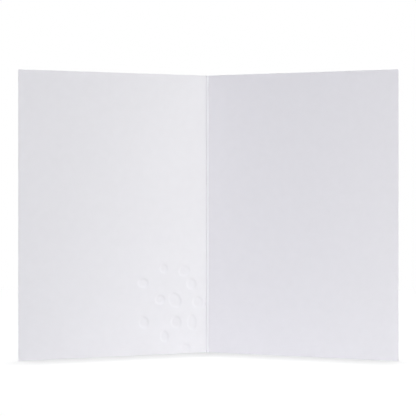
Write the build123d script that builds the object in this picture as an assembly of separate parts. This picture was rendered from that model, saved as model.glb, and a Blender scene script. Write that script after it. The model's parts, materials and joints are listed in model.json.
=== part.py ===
from build123d import *
import os
from collections import namedtuple
from math import atan2, cos, radians, sin, tan

# A greeting card: one sheet of white board, scored down the middle, folded once and opened to stand on its
# bottom edge. Its hollow side faces -Y. The front leaf is on the -X side, the back leaf on the +X side.
# Blind embossing is pressed through the front leaf from its inner face, so that the same oval marks are
# dimples inside the card and raised pads outside it.

# The sheet. Leaf widths run along the inner face from the fold to the free edge.
card_height = 177.8
front_width = 126.2
back_width = 127.8
board_thickness = 0.4
opening_angle = 131.4

# The score: a rounded bead on the inner side of the fold and the rule's shallow groove on the outer side.
bead_width = 2.0
bead_height = 0.35
bead_blend_radius = 0.5
groove_width = 1.4
groove_depth = 0.1
groove_blend_radius = 0.4

# The embossing: how deep it goes, how far its sloping wall runs, and how round the board bends over the wall's
# two outward corners, which are the rim of each dimple and the crest of each pad.
emboss_depth = 0.35
emboss_wall_run = 0.8
emboss_bend_radius = 1.2

# Each mark is an oval. Its centre is given from the fold and above the bottom edge, its width runs across the
# leaf, its length up it, and its tilt turns it anticlockwise as seen from inside the card.
Mark = namedtuple("Mark", "from_fold above_bottom width length tilt")
marks = [
    Mark(30.2, 54.4, 5.8, 6.0, 0),
    Mark(16.0, 52.6, 8.2, 6.8, 20),
    Mark(44.4, 45.6, 7.4, 6.2, 0),
    Mark(11.0, 44.2, 6.8, 7.6, 25),
    Mark(32.8, 34.8, 7.2, 6.2, 10),
    Mark(22.6, 34.2, 8.4, 10.4, 35),
    Mark(6.6, 32.4, 7.6, 7.8, 40),
    Mark(43.9, 20.8, 6.8, 7.8, 15),
    Mark(21.8, 20.2, 7.4, 8.0, 20),
    Mark(10.8, 19.8, 6.8, 10.2, 5),
    Mark(29.8, 11.4, 6.0, 7.6, 10),
    Mark(15.2, 3.6, 7.0, 5.2, 0),
]

# Worked out from the values above.
leaf_lean = radians((180 - opening_angle) / 2)
emboss_wall_slope = atan2(emboss_depth, emboss_wall_run)
raised_side_growth = board_thickness * tan(emboss_wall_slope / 2)

FRONT = -1
BACK = 1
INNER_FACE = 0
SAME_HEIGHT = 0.001


def leaf_point(side, along, across):
    """A point of the card's plan: along a leaf from the fold, and across it from its inner face outwards."""
    return Vector(
        side * (along * cos(leaf_lean) + across * sin(leaf_lean)),
        across * cos(leaf_lean) - along * sin(leaf_lean),
    )


def card_plan():
    """The folded sheet seen from above, with the bead and the groove of the score at its fold."""
    groove_edge = groove_width / 2 - board_thickness * tan(leaf_lean)
    front_bead = leaf_point(FRONT, bead_width / 2, INNER_FACE)
    back_bead = leaf_point(BACK, bead_width / 2, INNER_FACE)
    front_groove = leaf_point(FRONT, groove_edge, board_thickness)
    back_groove = leaf_point(BACK, groove_edge, board_thickness)
    bead_crest = Vector(0, front_bead.Y - bead_height)
    groove_floor = Vector(0, front_groove.Y - groove_depth)

    front_leaf = Polyline(
        front_bead,
        leaf_point(FRONT, front_width, INNER_FACE),
        leaf_point(FRONT, front_width, board_thickness),
        front_groove,
    )
    groove = ThreePointArc(front_groove, groove_floor, back_groove)
    back_leaf = Polyline(
        back_groove,
        leaf_point(BACK, back_width, board_thickness),
        leaf_point(BACK, back_width, INNER_FACE),
        back_bead,
    )
    bead = ThreePointArc(back_bead, bead_crest, front_bead)
    plan = make_face(front_leaf + groove + back_leaf + bead)
    plan = round_corners(plan, (front_bead, back_bead), bead_blend_radius)
    return round_corners(plan, (front_groove, back_groove), groove_blend_radius)


def round_corners(plan, corners, radius):
    """The plan with a fillet at each of the named corners."""
    chosen = [plan.vertices().sort_by_distance(corner)[0] for corner in corners]
    return fillet(chosen, radius)


def front_leaf_plane():
    """The front leaf's inner face: x away from the fold, y up the card and z outwards through the board."""
    along = leaf_point(FRONT, 1, INNER_FACE)
    outwards = leaf_point(FRONT, 0, 1)
    return Plane(origin=(0, 0, 0), x_dir=along, z_dir=outwards)


def mark_oval(mark, inset, height):
    """A mark's outline, drawn in from its rim and lifted off the leaf's inner face."""
    place = Pos(mark.from_fold, mark.above_bottom, height) * Rot(0, 0, -mark.tilt)
    return place * Ellipse(mark.width / 2 - inset, mark.length / 2 - inset)


def pressed_form(mark, base, growth):
    """The slope-sided slug of a mark, standing on the height base and grown sideways all round."""
    rim = mark_oval(mark, -growth, base)
    crest = mark_oval(mark, emboss_wall_run - growth, base + emboss_depth)
    return front_leaf_plane() * loft([rim, crest], ruled=True)


def oval_edges(card, height):
    """The card's closed edges that lie at a height above the front leaf's inner face."""
    leaf = front_leaf_plane()
    return [
        edge
        for edge in card.edges()
        if edge.is_closed and abs(leaf.to_local_coords(edge @ 0).Z - height) < SAME_HEIGHT
    ]


def emboss(card):
    """The card with every mark pressed through its front leaf, rounded where the board bends outwards."""
    for mark in marks:
        card += pressed_form(mark, board_thickness, raised_side_growth)
        card -= pressed_form(mark, INNER_FACE, 0)
    dimple_rims = oval_edges(card, INNER_FACE)
    pad_crests = oval_edges(card, board_thickness + emboss_depth)
    return fillet(dimple_rims + pad_crests, emboss_bend_radius)


def centred(card):
    """The card with its origin under the middle of its footprint."""
    box = card.bounding_box()
    return Pos(-box.center().X, -box.center().Y, 0) * card


card = centred(emboss(extrude(card_plan(), card_height)))

os.makedirs("parts", exist_ok=True)
export_step(card, "parts/card.step")
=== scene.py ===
import json
from collections import namedtuple
from math import cos, pi, radians, sin, sqrt, tan

import bpy
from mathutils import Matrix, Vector, geometry


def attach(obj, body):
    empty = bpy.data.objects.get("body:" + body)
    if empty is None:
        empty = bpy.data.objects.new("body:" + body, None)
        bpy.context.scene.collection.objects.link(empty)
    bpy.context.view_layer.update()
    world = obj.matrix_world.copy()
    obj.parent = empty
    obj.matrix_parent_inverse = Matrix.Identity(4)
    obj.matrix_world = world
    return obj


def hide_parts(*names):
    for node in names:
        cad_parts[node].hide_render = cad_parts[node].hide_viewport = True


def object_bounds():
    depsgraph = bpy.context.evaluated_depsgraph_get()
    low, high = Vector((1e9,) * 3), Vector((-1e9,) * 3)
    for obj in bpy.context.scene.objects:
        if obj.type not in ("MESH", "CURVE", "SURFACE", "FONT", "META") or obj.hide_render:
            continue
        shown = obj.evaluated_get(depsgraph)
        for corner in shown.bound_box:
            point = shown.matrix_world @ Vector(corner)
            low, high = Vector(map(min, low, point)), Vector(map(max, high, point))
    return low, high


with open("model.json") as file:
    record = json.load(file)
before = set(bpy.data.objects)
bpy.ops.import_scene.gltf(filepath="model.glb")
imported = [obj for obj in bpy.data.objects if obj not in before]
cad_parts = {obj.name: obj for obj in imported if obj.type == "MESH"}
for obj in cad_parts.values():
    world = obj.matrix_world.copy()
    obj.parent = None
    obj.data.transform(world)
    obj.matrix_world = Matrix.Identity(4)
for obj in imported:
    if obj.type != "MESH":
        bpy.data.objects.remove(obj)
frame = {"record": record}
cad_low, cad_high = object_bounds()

# The folded card as one fine mesh of its sheet, with two board materials, on a soft white stage. Lengths
# are in metres and in the frame's axes: +Z up the card, and -Y out of its hollow side.
MM = 0.001

# The sheet, as the frame has it: two flat leaves, the front one on the -X side and the back one on the +X
# side. Their widths run along the inner face, from the fold to the free edge, and LEAN is each one's
# angle to X.
CARD_HEIGHT = cad_high.z
FRONT_WIDTH = 126.2 * MM
BACK_WIDTH = 127.8 * MM
THICKNESS = 0.4 * MM
OPENING_ANGLE = 131.4
LEAN = (pi - radians(OPENING_ANGLE)) / 2
EDGE_ROUNDING = 0.06 * MM
ROUNDING_STEPS = 3

# The fold: a bead on its inner face and a groove in its outer face. Each is a low ridge towards the
# hollow side. FOLD_HALF is how far along each leaf the fold's own columns of points run.
Ridge = namedtuple("Ridge", "half_width height blend")
BEAD = Ridge(0.7 * MM, 0.47 * MM, 0.15 * MM)
GROOVE = Ridge(0.638 * MM, 0.1 * MM, 0.12 * MM)
FOLD_HALF = 1.6 * MM
FOLD_COLUMNS = 40

# The embossing: an S-shaped wall round each mark, as deep as in the frame, with a flat margin on both
# sides. Its insets count inwards from a mark's oval, so the wall starts outside the oval. The rings on
# the board's outer face are OUTER_GROWTH larger, so that the board keeps its thickness along the wall.
EMBOSS_DEPTH = 0.35 * MM
WALL_START = -0.5 * MM
WALL_RUN = 2.0 * MM
WALL_RINGS = 14
RING_POINTS = 64
FLAT_MARGIN = 0.15 * MM
OUTER_GROWTH = 0.05 * MM

# Each mark is an oval: its centre from the fold and above the bottom edge and its size, all in mm, and its
# tilt in degrees, anticlockwise as seen from the hollow side.
Mark = namedtuple("Mark", "from_fold above_bottom width length tilt")
MARKS = [
    Mark(30.2, 54.4, 5.8, 6.0, 0),
    Mark(16.0, 52.6, 8.2, 6.8, 20),
    Mark(44.4, 45.6, 7.4, 6.2, 0),
    Mark(11.0, 44.2, 6.8, 7.6, 25),
    Mark(32.8, 34.8, 7.2, 6.2, 10),
    Mark(22.6, 34.2, 8.4, 10.4, 35),
    Mark(6.6, 32.4, 7.6, 7.8, 40),
    Mark(43.9, 20.8, 6.8, 7.8, 15),
    Mark(21.8, 20.2, 7.4, 8.0, 20),
    Mark(10.8, 19.8, 6.8, 10.2, 5),
    Mark(29.8, 11.4, 6.0, 7.6, 10),
    Mark(15.2, 3.6, 7.0, 5.2, 0),
]

# The flat board round the marks: how closely it is divided, where each mark's hole in it lies, and how
# far its points keep from the holes. The triangulation covers the whole hull, and merges points nearer
# than MERGE_MM.
ROW_GAP = 2.5 * MM
COLUMN_GAP = 4.0 * MM
HOLE_INSET = WALL_START - 2 * FLAT_MARGIN
HOLE_CLEARANCE = 0.3 * MM
WHOLE_HULL = 0
MERGE_MM = 1e-6

# The fold's inner corner, before the bead, in the frame's plan.
FOLD_X = cad_low.x + FRONT_WIDTH * cos(LEAN) + THICKNESS * sin(LEAN)
FOLD_Y = cad_low.y + BACK_WIDTH * sin(LEAN)

FRONT, BACK = -1, 1

# The order of the card's two materials.
FACE_MATERIAL, EDGE_MATERIAL = 0, 1


def leaf_plan(along, across):
    """A point of a leaf in plan, along it from the fold, negative on the front leaf, and across it."""
    side = FRONT if along < 0 else BACK
    run = abs(along)
    return Vector((
        side * (run * cos(LEAN) + across * sin(LEAN)),
        across * cos(LEAN) - run * sin(LEAN),
    ))


def ridge_rise(x, leaves_at_fold, ridge):
    """How far a face of the fold stands towards -Y at x, where a ridge rises out of the two leaves."""
    leaf = leaves_at_fold + abs(x) * tan(LEAN)
    crest = leaves_at_fold + ridge.half_width * tan(LEAN) + ridge.height
    radius = (ridge.half_width ** 2 + ridge.height ** 2) / (2 * ridge.height)
    arch = crest - radius + sqrt(max(radius ** 2 - x ** 2, 0))

    # The higher of the two, rounded over where they meet: a quadratic smooth maximum.
    overlap = max(ridge.blend - abs(leaf - arch), 0) / ridge.blend
    return max(leaf, arch) + overlap ** 2 * ridge.blend / 4


def fold_plan(along, across):
    """A point of the fold in plan, from the bead's face at across 0 to the groove's at across THICKNESS."""
    inner_x = along * cos(LEAN)
    outer_x = along * (cos(LEAN) + THICKNESS * sin(LEAN) / FOLD_HALF)
    inner = Vector((inner_x, -ridge_rise(inner_x, 0, BEAD)))
    outer = Vector((outer_x, -ridge_rise(outer_x, -THICKNESS / cos(LEAN), GROOVE)))
    return inner.lerp(outer, across / THICKNESS)


def card_point(along, up, across):
    """A point of the card in the frame, from its place on the unfolded sheet."""
    plan = fold_plan(along, across) if abs(along) < FOLD_HALF else leaf_plan(along, across)
    return Vector((plan.x + FOLD_X, plan.y + FOLD_Y, up))


def pressed(inset):
    """How far the board is pushed outwards at an inset from a mark's oval."""
    share = min(max((inset - WALL_START) / WALL_RUN, 0), 1)
    return EMBOSS_DEPTH * (1 - cos(pi * share)) / 2


def mark_ring(mark, inset):
    """The points of one oval ring of a mark, on the unfolded sheet."""
    tilt = radians(mark.tilt)
    half_width = mark.width * MM / 2 - inset
    half_length = mark.length * MM / 2 - inset
    points = []
    for step in range(RING_POINTS):
        turn = 2 * pi * step / RING_POINTS
        right = half_width * cos(turn)
        up = half_length * sin(turn)
        points.append((
            -mark.from_fold * MM + right * cos(tilt) - up * sin(tilt),
            mark.above_bottom * MM + right * sin(tilt) + up * cos(tilt),
        ))
    return points


def is_inside(point, ring):
    """Whether a point lies in a ring: whether an odd number of the ring's sides are to its right."""
    crossings = 0
    for (ax, ay), (bx, by) in zip(ring, ring[1:] + ring[:1]):
        if (ay > point[1]) != (by > point[1]):
            crossings += point[0] < ax + (point[1] - ay) * (bx - ax) / (by - ay)
    return crossings % 2 == 1


def spread(low, high, gap):
    """Even steps from low to high, each about gap long."""
    count = max(1, round((high - low) / gap))
    return [low + (high - low) * step / count for step in range(count + 1)]


class Sheet:
    """The unfolded sheet's layout, shared by the board's two faces."""

    def __init__(self):
        left = -FRONT_WIDTH + EDGE_ROUNDING
        right = BACK_WIDTH - EDGE_ROUNDING
        fold = spread(-FOLD_HALF, FOLD_HALF, 2 * FOLD_HALF / FOLD_COLUMNS)
        front = spread(left, -FOLD_HALF, COLUMN_GAP)
        back = spread(FOLD_HALF, right, COLUMN_GAP)
        self.columns = front[:-1] + fold + back[1:]
        self.rows = spread(EDGE_ROUNDING, CARD_HEIGHT - EDGE_ROUNDING, ROW_GAP)
        self.inner = []
        self.outer = []
        self.press = []
        self.faces = []
        self.border = []
        self.lay_out()

    def add(self, inner, outer=None, press=0.0):
        """Adds points, with their places on the outer face if they differ, and gives their numbers."""
        first = len(self.inner)
        self.inner += inner
        self.outer += outer or inner
        self.press += [press] * len(inner)
        return list(range(first, len(self.inner)))

    def lay_out(self):
        """Fills the sheet: its border, a lattice inside it, and a set of rings for each mark."""
        holes = [mark_ring(mark, HOLE_INSET) for mark in MARKS]
        keep_off = [mark_ring(mark, HOLE_INSET - HOLE_CLEARANCE) for mark in MARKS]
        border = (
            [(column, self.rows[0]) for column in self.columns[:-1]]
            + [(self.columns[-1], row) for row in self.rows[:-1]]
            + [(column, self.rows[-1]) for column in self.columns[:0:-1]]
            + [(self.columns[0], row) for row in self.rows[:0:-1]]
        )
        inside = [
            (column, row)
            for column in self.columns[1:-1]
            for row in self.rows[1:-1]
            if not any(is_inside((column, row), ring) for ring in keep_off)
        ]
        self.border = self.add(border)
        self.add(inside)
        hole_rings = [self.add(hole) for hole in holes]
        self.join_flat(holes, hole_rings)
        for mark, ring in zip(MARKS, hole_rings):
            self.add_mark(mark, ring)

    def join_flat(self, holes, hole_rings):
        """Covers the flat board round the marks with triangles."""
        sides = [side for ring in hole_rings for side in zip(ring, ring[1:] + ring[:1])]
        flat = [Vector(point) / MM for point in self.inner]
        _, _, faces, sources, _, _ = geometry.delaunay_2d_cdt(flat, sides, [], WHOLE_HULL, MERGE_MM)
        for face in faces:
            corners = [sources[corner][0] for corner in face]
            middle = [sum(self.inner[corner][axis] for corner in corners) / len(corners) for axis in (0, 1)]
            if not any(is_inside(middle, hole) for hole in holes):
                self.faces.append(corners)

    def add_mark(self, mark, last_ring):
        """Adds a mark's wall and floor inside the ring of its hole."""
        wall = [WALL_START + WALL_RUN * step / WALL_RINGS for step in range(WALL_RINGS + 1)]
        for inset in [wall[0] - FLAT_MARGIN, *wall, wall[-1] + FLAT_MARGIN]:
            inner, outer = mark_ring(mark, inset), mark_ring(mark, inset - OUTER_GROWTH)
            ring = self.add(inner, outer, pressed(inset))
            for here, after in zip(range(RING_POINTS), [*range(1, RING_POINTS), 0]):
                self.faces.append([last_ring[here], last_ring[after], ring[after], ring[here]])
            last_ring = ring
        middle = self.add([(-mark.from_fold * MM, mark.above_bottom * MM)], None, EMBOSS_DEPTH)[0]
        for here, after in zip(last_ring, last_ring[1:] + last_ring[:1]):
            self.faces.append([here, after, middle])


def edge_section():
    """The cut edge's section from face to face: how far in from the edge, and how far across the board."""
    turns = [pi / 2 * step / ROUNDING_STEPS for step in range(1, ROUNDING_STEPS + 1)]
    inner = [(EDGE_ROUNDING * (1 - sin(turn)), EDGE_ROUNDING * (1 - cos(turn))) for turn in turns]
    outer = [(inset, THICKNESS - across) for inset, across in reversed(inner)]
    return inner + outer


def make_card():
    """The card's mesh: the board's two faces, joined round its border by the rounded cut edge."""
    sheet = Sheet()
    points = [card_point(*place, press) for place, press in zip(sheet.inner, sheet.press)]
    points += [card_point(*place, THICKNESS + press) for place, press in zip(sheet.outer, sheet.press)]
    outer_first = len(sheet.inner)
    faces = list(sheet.faces)
    faces += [[outer_first + corner for corner in reversed(face)] for face in sheet.faces]
    board_faces = len(faces)

    loop = sheet.border
    for inset, across in edge_section():
        first = len(points)
        out = EDGE_ROUNDING - inset
        for number in sheet.border:
            along, up = sheet.inner[number]
            along += out * ((along == sheet.columns[-1]) - (along == sheet.columns[0]))
            up += out * ((up == sheet.rows[-1]) - (up == sheet.rows[0]))
            points.append(card_point(along, up, across))
        ring = list(range(first, len(points)))
        faces += rim_faces(loop, ring)
        loop = ring
    faces += rim_faces(loop, [outer_first + number for number in sheet.border])

    mesh = bpy.data.meshes.new("card_sheet")
    mesh.from_pydata(points, [], faces)
    for number, face in enumerate(mesh.polygons):
        face.use_smooth = True
        face.material_index = FACE_MATERIAL if number < board_faces else EDGE_MATERIAL

    # Both faces stay flat in their shading right up to the cut edge.
    borders = {number + first for number in sheet.border for first in (0, outer_first)}
    for edge in mesh.edges:
        edge.use_edge_sharp = borders.issuperset(edge.vertices)
    card = bpy.data.objects.new("card_sheet", mesh)
    bpy.context.scene.collection.objects.link(card)
    return card


def rim_faces(loop, ring):
    """The faces between two loops of points that go round the card."""
    return [
        [loop[here], ring[here], ring[after], loop[after]]
        for here, after in zip(range(len(loop)), [*range(1, len(loop)), 0])
    ]


card = make_card()
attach(card, "root")
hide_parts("card")


# Materials

BOARD_COLOUR = tuple(frame["record"]["materials"][0]["base_color"][:3])
BOARD_SPECULAR = 0.35
ROUGHNESS_SWING = 0.05

# The board's grain, as noises: the size of their grains, how finely they are broken up, and how many
# times finer they are along each axis. NOISE_RANGE is where most of a noise's values lie.
Grain = namedtuple("Grain", "size detail stretch")
CLOUDS = Grain(5 * MM, 4, (1, 1, 1))
TOOTH = Grain(1.1 * MM, 2, (1, 1, 1))
SHEEN = Grain(1.1 * MM, 3, (1, 1, 1))
FIBRES = Grain(0.35 * MM, 3, (1, 1, 2.2))
NOISE_ROUGHNESS = 0.55
NOISE_RANGE = (0.3, 0.7)


class Nodes:
    """The nodes of a material or a world, which starts out empty."""

    def __init__(self, owner):
        owner.use_nodes = True
        self.tree = owner.node_tree
        self.tree.nodes.clear()

    def add(self, kind, inputs, **settings):
        """A new node with its settings, and with its inputs set to values or linked to other nodes."""
        node = self.tree.nodes.new(kind)
        for name, value in settings.items():
            setattr(node, name, value)
        for name, value in inputs.items():
            if isinstance(value, bpy.types.NodeSocket):
                self.tree.links.new(value, node.inputs[name])
            else:
                node.inputs[name].default_value = value
        return node.outputs

    def noise(self, grain):
        """The noise of a grain, in the object's own coordinates."""
        place = self.add("ShaderNodeTexCoord", {})["Object"]
        stretched = self.add("ShaderNodeMapping", {"Vector": place, "Scale": grain.stretch})["Vector"]
        return self.add("ShaderNodeTexNoise", {
            "Vector": stretched,
            "Scale": 1 / grain.size,
            "Detail": grain.detail,
            "Roughness": NOISE_ROUGHNESS,
        })["Fac"]

    def about(self, middle, swing, noise):
        """A noise turned into values on both sides of a middle one."""
        return self.add("ShaderNodeMapRange", {
            "Value": noise,
            "From Min": NOISE_RANGE[0],
            "From Max": NOISE_RANGE[1],
            "To Min": middle - swing,
            "To Max": middle + swing,
        })["Result"]

    def math(self, operation, first, second):
        """The outcome of one operation on two values."""
        return self.add("ShaderNodeMath", {0: first, 1: second}, operation=operation)["Value"]

    def mix_shaders(self, share, first, second):
        """The first shader where the share is 0, and the second where it is 1."""
        return self.add("ShaderNodeMixShader", {"Fac": share, 1: first, 2: second})["Shader"]

    def shows_background(self):
        """1 for rays that show what lies behind: from the camera, off gloss and through clear things."""
        path = self.add("ShaderNodeLightPath", {})
        shiny = self.math("MAXIMUM", path["Is Glossy Ray"], path["Is Transmission Ray"])
        return self.math("MAXIMUM", path["Is Camera Ray"], shiny)


def board_material(name, cloudiness, roughness, tooth_height):
    """White uncoated board: faintly cloudy from its pulp, with a fine tooth of fibres."""
    material = bpy.data.materials.new(name)
    nodes = Nodes(material)
    clouds = nodes.about(1, cloudiness, nodes.noise(CLOUDS))
    tint = {"Factor": 1.0, "A": (*BOARD_COLOUR, 1), "B": clouds}
    tooth = nodes.math("ADD", nodes.noise(TOOTH), nodes.noise(FIBRES))
    board = nodes.add("ShaderNodeBsdfPrincipled", {
        "Base Color": nodes.add("ShaderNodeMix", tint, data_type="RGBA", blend_type="MULTIPLY")["Result"],
        "Roughness": nodes.about(roughness, ROUGHNESS_SWING, nodes.noise(SHEEN)),
        "Specular IOR Level": BOARD_SPECULAR,
        "Normal": nodes.add("ShaderNodeBump", {"Distance": tooth_height, "Height": tooth})["Normal"],
    })
    nodes.add("ShaderNodeOutputMaterial", {"Surface": board["BSDF"]})
    return material


white_board = board_material("white_board", cloudiness=0.008, roughness=0.62, tooth_height=0.006 * MM)
cut_edge = board_material("cut_edge", cloudiness=0.02, roughness=0.8, tooth_height=0.03 * MM)
card.data.materials.append(white_board)
card.data.materials.append(cut_edge)


# The stage: a pale floor in front of a background that looks white, in plain soft light

WHITE = (1, 1, 1, 1)
WHITE_STRENGTH = 1.0
AMBIENT_STRENGTH = 0.1

# The floor is matt white for the light that it throws on the card. Where it is seen, a small part of it
# is matt, which keeps the card's shadow, and the rest is even light with a painted shade near the card.
FLOOR_HALF = 15.0
FLOOR_COLOUR = (0.92, 0.92, 0.92, 1)
SEEN_MATT = (0.1, 0.1, 0.1, 1)
SEEN_EVEN = 0.915

# A painted shade, not a lamp's shadow, darkens the even light within SHADE_REACH of the card, by the share
# of a half sphere round each floor point that the card hides, from ambient occlusion. That half sphere is
# tilted SHADE_LEAN off straight up, towards +Y, so most of the painted shade falls on the card's hollow
# side. Between WHITE_FROM and WHITE_BEYOND from the card, the floor fades to plain white.
SHADE_REACH = 0.03
SHADE_DEPTH = 0.37
SHADE_LEAN = radians(45)
WHITE_FROM, WHITE_BEYOND = 0.3, 0.7

# Softboxes round the card's middle. Their angles are in degrees, with azimuth 0 on the camera's side and 90
# on the +X side, their lengths in metres and their power in watts.
Softbox = namedtuple("Softbox", "name azimuth elevation distance size power colour")
SOFTBOXES = [
    Softbox("overhead_front", 0, 78, 1.0, 0.4, 6.45, (0.92, 0.924, 1)),
    Softbox("overhead_left", -90, 80, 1.0, 0.4, 2.4, (0.92, 0.97, 1)),
    Softbox("left", -40, 3, 1.4, 0.56, 3.7, (0.99, 0.94, 1)),
    Softbox("low_right", 60, -5, 0.45, 0.08, 0.56, (1, 1, 0.92)),
    Softbox("high_right", 75, 45, 0.5, 0.12, 0.25, (1, 1, 1)),
    Softbox("back", 162, 30, 1.4, 0.3, 9.0, (1, 1, 1)),
]


def make_floor():
    """A floor that looks white away from the card, keeps the card's shadow from the lamps, and has a
    painted shade at the card's foot.
    """
    low, high = -FLOOR_HALF, FLOOR_HALF
    corners = [(low, low, 0), (high, low, 0), (high, high, 0), (low, high, 0)]
    mesh = bpy.data.meshes.new("floor")
    mesh.from_pydata(corners, [], [(0, 1, 2, 3)])
    mesh.materials.append(floor_material())
    floor = bpy.data.objects.new("floor", mesh)
    bpy.context.scene.collection.objects.link(floor)


def floor_material():
    """Matt white for the light that it throws on the card, and mostly even light where it is seen, with a
    painted shade near the card.
    """
    material = bpy.data.materials.new("pale_floor")
    nodes = Nodes(material)
    matt = nodes.add("ShaderNodeBsdfDiffuse", {"Color": FLOOR_COLOUR})["BSDF"]

    # Painted shade: ambient occlusion about a tilted axis darkens the even light where the floor is seen.
    # No lamp casts this shade.
    lean = {"X": 0, "Y": sin(SHADE_LEAN), "Z": cos(SHADE_LEAN)}
    painted_shade_axis = nodes.add("ShaderNodeCombineXYZ", lean)["Vector"]
    nearby = {"Distance": SHADE_REACH, "Normal": painted_shade_axis}
    clear = nodes.add("ShaderNodeAmbientOcclusion", nearby)["AO"]
    painted_shade = nodes.math("MULTIPLY", nodes.math("SUBTRACT", 1.0, clear), SHADE_DEPTH)
    strength = nodes.math("SUBTRACT", SEEN_EVEN, painted_shade)
    seen_matt = nodes.add("ShaderNodeBsdfDiffuse", {"Color": SEEN_MATT})["BSDF"]
    even_light_and_painted_shade = nodes.add("ShaderNodeEmission", {"Strength": strength})["Emission"]
    near = nodes.add("ShaderNodeAddShader", {0: seen_matt, 1: even_light_and_painted_shade})["Shader"]
    white = nodes.add("ShaderNodeEmission", {"Strength": WHITE_STRENGTH})["Emission"]

    place = nodes.add("ShaderNodeTexCoord", {})["Object"]
    distance = nodes.add("ShaderNodeVectorMath", {0: place}, operation="LENGTH")["Value"]
    fade = {"Value": distance, "From Min": WHITE_FROM, "From Max": WHITE_BEYOND}
    far = nodes.add("ShaderNodeMapRange", fade, interpolation_type="SMOOTHSTEP")["Result"]
    seen = nodes.mix_shaders(far, near, white)
    surface = nodes.mix_shaders(nodes.shows_background(), matt, seen)
    nodes.add("ShaderNodeOutputMaterial", {"Surface": surface})
    return material


def make_world():
    """Faint light from all round, in front of a white background."""
    world = bpy.data.worlds.new("studio")
    bpy.context.scene.world = world
    nodes = Nodes(world)
    around = nodes.add("ShaderNodeBackground", {"Color": WHITE, "Strength": AMBIENT_STRENGTH})["Background"]
    white = nodes.add("ShaderNodeBackground", {"Color": WHITE, "Strength": WHITE_STRENGTH})["Background"]
    surface = nodes.mix_shaders(nodes.shows_background(), around, white)
    nodes.add("ShaderNodeOutputWorld", {"Surface": surface})


def make_softbox(box):
    """A square softbox, aimed at the middle of the card."""
    light = bpy.data.lights.new(box.name, "AREA")
    light.shape = "SQUARE"
    light.size = box.size
    light.energy = box.power
    light.color = box.colour
    azimuth, elevation = radians(box.azimuth), radians(box.elevation)
    away = Vector((sin(azimuth) * cos(elevation), -cos(azimuth) * cos(elevation), sin(elevation)))
    lamp = bpy.data.objects.new(box.name, light)
    lamp.location = Vector((0, 0, CARD_HEIGHT / 2)) + away * box.distance
    lamp.rotation_euler = away.to_track_quat("Z", "Y").to_euler()
    lamp.visible_camera = False
    bpy.context.scene.collection.objects.link(lamp)


make_floor()
make_world()
for softbox in SOFTBOXES:
    make_softbox(softbox)


# The camera: level, and a little above the middle of the card, as in the photograph

PHOTO_SIDE = 416
HORIZON_ROW = 191.2
FOCAL_PIXELS = 1557.8
SENSOR_WIDTH = 36.0
CAMERA_PLACE = (-0.24 * MM, -975 * MM, 103.5 * MM)

camera_data = bpy.data.cameras.new("camera")
camera_data.sensor_width = SENSOR_WIDTH
camera_data.lens = SENSOR_WIDTH * FOCAL_PIXELS / PHOTO_SIDE
camera_data.shift_y = (HORIZON_ROW - PHOTO_SIDE / 2) / PHOTO_SIDE
camera = bpy.data.objects.new("camera", camera_data)
camera.location = CAMERA_PLACE
camera.rotation_euler = (pi / 2, 0, 0)
bpy.context.scene.collection.objects.link(camera)
bpy.context.scene.camera = camera
bpy.context.scene.view_settings.view_transform = "Standard"
